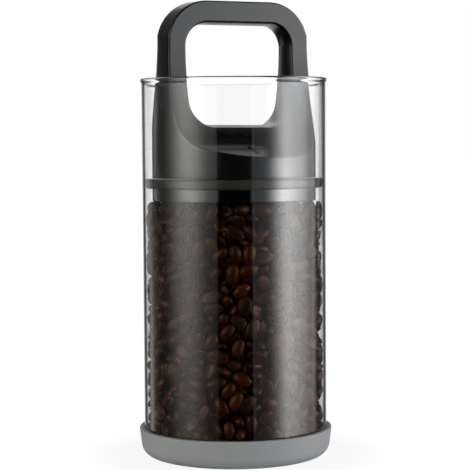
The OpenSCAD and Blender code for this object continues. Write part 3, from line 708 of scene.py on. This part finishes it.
# ---------------------------------------------------------------- stage
def unmirrored_sight(nodes):
    """1 for the eye's own rays, a little more for those that only glass has bent, and 0 once anything has mirrored
    them."""
    path = nodes.add("ShaderNodeLightPath")
    bent = nodes.maths("LESS_THAN", path.outputs["Glossy Depth"], 0.5)
    through = nodes.maths("MULTIPLY", nodes.maths("MULTIPLY", path.outputs["Is Transmission Ray"], bent), 1.1)
    return nodes.maths("MAXIMUM", path.outputs["Is Camera Ray"], through)


def add_stage():
    """A wide pale floor that keeps a soft shadow, and looks white to the eye and through glass. Rays that a wall of
    glass has mirrored pass it, so that they meet the studio as those mirrored outside do."""
    floor_r = 6.0
    angle = np.arange(96) * FULL_TURN / 96
    ring = np.stack([floor_r * np.cos(angle), floor_r * np.sin(angle), np.zeros(96)], -1)
    mesh = bpy.data.meshes.new("floor")
    mesh.from_pydata(ring.tolist(), [], [list(range(96))])
    floor = bpy.data.objects.new("floor", mesh)
    bpy.context.scene.collection.objects.link(floor)
    floor.visible_glossy = False
    material, nodes = new_material("pale_floor")
    seen = unmirrored_sight(nodes)
    where = nodes.add("ShaderNodeTexCoord").outputs["Object"]
    away = nodes.add("ShaderNodeVectorMath", {0: where}, operation="LENGTH").outputs["Value"]
    plain = nodes.add("ShaderNodeBsdfDiffuse", {"Color": tint(0.8, 0.8, 0.8)})
    white = nodes.add("ShaderNodeEmission", {"Color": tint(1, 1, 1), "Strength": 1.03})
    share = nodes.maths("MULTIPLY", seen, nodes.spread(away, 0.06, 0.1, 0.88, 1.0))
    both = nodes.add("ShaderNodeMixShader", {0: share, 1: plain.outputs[0], 2: white.outputs[0]})
    path = nodes.add("ShaderNodeLightPath")
    mirrored = nodes.maths("MULTIPLY", path.outputs["Is Transmission Ray"],
                           nodes.maths("GREATER_THAN", path.outputs["Glossy Depth"], 0.5))
    none = nodes.add("ShaderNodeBsdfTransparent")
    both = nodes.add("ShaderNodeMixShader", {0: mirrored, 1: both.outputs[0], 2: none.outputs[0]})
    nodes.add("ShaderNodeOutputMaterial", {"Surface": both.outputs[0]})
    mesh.materials.append(material)


def add_world():
    """White to the eye and through glass. Light and gloss come from a studio written by direction: bearings are
    counted from the camera, positive to its right as seen from the object. Each soft light is a bell curve
    in bearing and in height. The room behind glows faintly, with a narrow bright backdrop in its middle."""
    world = bpy.data.worlds.new("studio")
    bpy.context.scene.world = world
    world.use_nodes = True
    world.node_tree.nodes.clear()
    nodes = Nodes(world.node_tree)
    where = nodes.add("ShaderNodeTexCoord").outputs["Generated"]
    turn = math.radians(28)

    def part(x, y, z):
        return nodes.add("ShaderNodeVectorMath", {0: where, 1: (x, y, z)}, operation="DOT_PRODUCT").outputs["Value"]

    def bell(value, middle, half_width):
        off = nodes.maths("DIVIDE", nodes.maths("SUBTRACT", value, math.radians(middle)), math.radians(half_width))
        return nodes.maths("EXPONENT", nodes.maths("MULTIPLY", nodes.maths("MULTIPLY", off, off), -1.0))

    to_right, to_eye = part(math.cos(turn), -math.sin(turn), 0), part(-math.sin(turn), -math.cos(turn), 0)
    bearing = nodes.maths("ARCTAN2", to_right, to_eye)
    lift = nodes.maths("ARCSINE", part(0, 0, 1))
    low_side = nodes.spread(lift, math.radians(-16), math.radians(-6.2), 0.4, 1.0)
    on_left = nodes.maths("MULTIPLY", nodes.spread(bearing, math.radians(-21.6), math.radians(-20.4), 1.0, 0.0),
                          nodes.spread(bearing, math.radians(-146), math.radians(-138), 0.0, 1.0))
    on_right = nodes.maths("MULTIPLY", nodes.spread(bearing, math.radians(21.8), math.radians(23.0), 0.0, 1.0),
                           nodes.spread(bearing, math.radians(122), math.radians(130), 1.0, 0.2))
    shutter = nodes.maths("MULTIPLY", nodes.maths("ADD", on_left, on_right), low_side)
    light = tint(*(ROOM_LEVEL,) * 3)
    for middle, half_width, height, tall, strength, colour in SOFT_LIGHTS:
        glow = nodes.maths("MULTIPLY", bell(bearing, middle, half_width), bell(lift, height, tall))
        glow = nodes.maths("MULTIPLY", nodes.maths("MULTIPLY", glow, shutter), strength)
        tinted = nodes.add("ShaderNodeVectorMath", {0: colour, "Scale": glow}, operation="SCALE").outputs[0]
        light = nodes.add("ShaderNodeVectorMath", {0: light[:3] if isinstance(light, tuple) else light, 1: tinted},
                          operation="ADD").outputs[0]
    warmth = nodes.blend(nodes.spread(lift, math.radians(-4), math.radians(-2), 1.0, 0.0), tint(1, 1, 1),
                         tint(1.06, 1.0, 0.92))
    light = nodes.add("ShaderNodeVectorMath", {0: light, 1: warmth}, operation="MULTIPLY").outputs[0]
    to_back = part(math.sin(turn), math.cos(turn), 0)
    behind = nodes.maths("MULTIPLY", nodes.spread(to_back, 0.15, 0.82, 0.0, BEHIND_LEVEL),
                         nodes.spread(lift, math.radians(3), math.radians(38), 0.25, 1.0))
    light = nodes.add("ShaderNodeVectorMath", {0: light, 1: behind}, operation="MAXIMUM").outputs[0]
    aside = nodes.maths("ABSOLUTE", bearing)
    narrow_lift = nodes.maths("MULTIPLY", nodes.spread(lift, math.radians(20), math.radians(28), 1.0, 0.62),
                              nodes.spread(lift, math.radians(38), math.radians(46), 1.0, 0.5))
    narrow = nodes.maths("MULTIPLY", nodes.spread(aside, math.radians(160), math.radians(168), 0.0, BACKDROP_LEVEL),
                         narrow_lift)
    left_wall = nodes.maths("MULTIPLY", nodes.spread(bearing, math.radians(-139), math.radians(-131), 1.0, 0.0),
                            nodes.spread(bearing, math.radians(-152), math.radians(-148), 0.0, 1.0))
    right_wall = nodes.maths("MULTIPLY", nodes.spread(bearing, math.radians(128), math.radians(132), 0.0, 1.0),
                             nodes.spread(bearing, math.radians(135), math.radians(138), 1.0, 0.0))
    wide = nodes.maths("MULTIPLY", nodes.spread(lift, math.radians(-3.2), math.radians(-2.6), 0.0, WALL_LEVEL),
                       nodes.spread(lift, math.radians(10), math.radians(20), 1.0, 0.0))
    wide = nodes.maths("MULTIPLY", wide, nodes.maths("ADD", left_wall, right_wall))
    backdrop = nodes.maths("MAXIMUM", narrow, wide)
    light = nodes.add("ShaderNodeVectorMath", {0: light, 1: backdrop}, operation="MAXIMUM").outputs[0]
    past_edge = nodes.maths("MULTIPLY", nodes.add("ShaderNodeLightPath").outputs["Is Transmission Ray"],
                            nodes.spread(bearing, math.radians(168.5), math.radians(170.5), 1.0, 0.0))
    past_edge = nodes.maths("MULTIPLY", past_edge, nodes.maths("GREATER_THAN", bearing, 0.0))
    white = nodes.maths("MULTIPLY", unmirrored_sight(nodes), nodes.spread(past_edge, 0.0, 1.0, 1.0, PAST_EDGE_LEVEL))
    light = nodes.add("ShaderNodeVectorMath", {0: light, 1: white}, operation="MAXIMUM").outputs[0]
    sky = nodes.add("ShaderNodeBackground", {"Color": light, "Strength": 1.0})
    nodes.add("ShaderNodeOutputWorld", {"Surface": sky.outputs[0]})


# Bearing, half width, lift and half height in degrees, brightness and colour of each soft light of the studio
COOL, BLUE, PALE_GREEN, PLAIN = (0.965, 1.0, 1.035), (0.91, 1.0, 1.22), (0.975, 1.0, 0.95), (1.0, 1.0, 1.0)
SOFT_LIGHTS = [(68, 12.8, 4, 24, 2.35, COOL), (81.4, 25.5, 4, 24, 3.5, COOL), (97, 14, 4, 8, 0.5, COOL),
               (60, 11, -1.5, 4, 0.75, COOL), (117.7, 5, 4, 24, 0.55, COOL), (30, 10, 4, 24, 0.19, BLUE),
               (24, 1.6, 4, 24, 0.18, PLAIN), (-61, 22, 14, 20, 3.5, PALE_GREEN), (-25, 8, 14, 20, 0.35, PLAIN),
               (-122, 16, -6, 8, 0.14, PLAIN), (-131, 6.5, -14, 11, 0.75, PLAIN)]
ROOM_LEVEL = 0.0015
BEHIND_LEVEL = 0.24
BACKDROP_LEVEL = 0.8
PAST_EDGE_LEVEL = 0.25
WALL_LEVEL = 0.55


def add_softbox(name, bearing, distance, height, width, tall, power, colour=(1, 1, 1)):
    """A soft rectangular lamp, bearing degrees to the right of the camera as seen from the object, aimed at it."""
    turn = math.radians(bearing - 28)
    data = bpy.data.lights.new(name, "AREA")
    data.shape, data.size, data.size_y = "RECTANGLE", width, tall
    data.energy, data.color = power, colour
    lamp = bpy.data.objects.new(name, data)
    bpy.context.scene.collection.objects.link(lamp)
    lamp.location = (distance * math.sin(turn), -distance * math.cos(turn), height)
    aim = Vector((0, 0, 0.12)) - lamp.location
    lamp.rotation_euler = aim.to_track_quat("-Z", "Y").to_euler()
    lamp.visible_camera = False
    lamp.visible_transmission = False


# ---------------------------------------------------------------- the object
add_camera()
add_stage()
add_world()
add_softbox("fill_softbox", -20, 0.9, 0.95, 0.7, 0.7, 0.8)

GLASS = clear_glass()
BOOT = grained("boot_silicone", (0.5, 0.5, 0.505), (0.53, 0.53, 0.535), (0.55, 0.68), 3200, 25, 0.25)
SHELL = grained("shell_plastic", (0.003, 0.003, 0.0033), (0.0045, 0.0045, 0.005), (0.18, 0.23), 4200, 20, 0.03,
                Specular_IOR_Level=0.58)
BLACK = grained("black_plastic", (0.002, 0.002, 0.0022), (0.003, 0.003, 0.0033), (0.05, 0.09), 3800, 30, 0.02,
                Specular_IOR_Level=1.0)
SEAL = grained("dark_silicone", (0.03, 0.03, 0.023), (0.038, 0.038, 0.029), (0.26, 0.36), 3000, 40, 0.1)
WHITE = grained("white_plastic", (0.68, 0.68, 0.65), (0.76, 0.76, 0.73), (0.4, 0.5), 3500, 40, 0.1)
RED = grained("red_silicone", (0.4, 0.06, 0.025), (0.47, 0.075, 0.03), (0.5, 0.6), 3000, 40, 0.15)
STEEL = brushed("steel", (0.62, 0.62, 0.63), 0.25)
SPRING = brushed("spring_steel", (0.6, 0.6, 0.62), 0.22, (20.0, 20.0, 1.0))
DARK_STEEL = brushed("dark_steel", (0.18, 0.18, 0.19), 0.35)
BRASS = brushed("brass", (0.7, 0.5, 0.2), 0.28)
BEAN = roasted_bean()

finishes = {
    "clear_glass": GLASS, "grey_silicone": BOOT, "black_plastic": BLACK, "shell_plastic": SHELL,
    "dark_silicone": SEAL, "white_plastic": WHITE, "red_silicone": RED, "steel": STEEL,
    "spring_steel": SPRING, "dark_steel": DARK_STEEL, "brass": BRASS}
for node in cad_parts.values():
    for holder in node.material_slots:
        holder.material = finishes[holder.material.name.split(".")[0]]

points, faces = lathe(jar_profile())
new_piece("jar_glass", points, faces, "canister", "clear_glass", GLASS, ["glass_jar"])
points, faces = lathe(boot_profile())
new_piece("soft_boot", points, faces, "canister", "grey_silicone", BOOT, ["base_boot"])
points, faces = handle_shell()
weld(new_piece("moulded_handle", points, faces, "handle", "shell_plastic", SHELL, ["handle_shell"]))
wound_spring("release_spring", "return_spring", 6, RELEASE_WIRE)
wound_spring("valve_spring", "relief_spring", 3, FLAP_WIRE)
bean_fill(BEAN)

bpy.context.scene.view_settings.view_transform = "Standard"
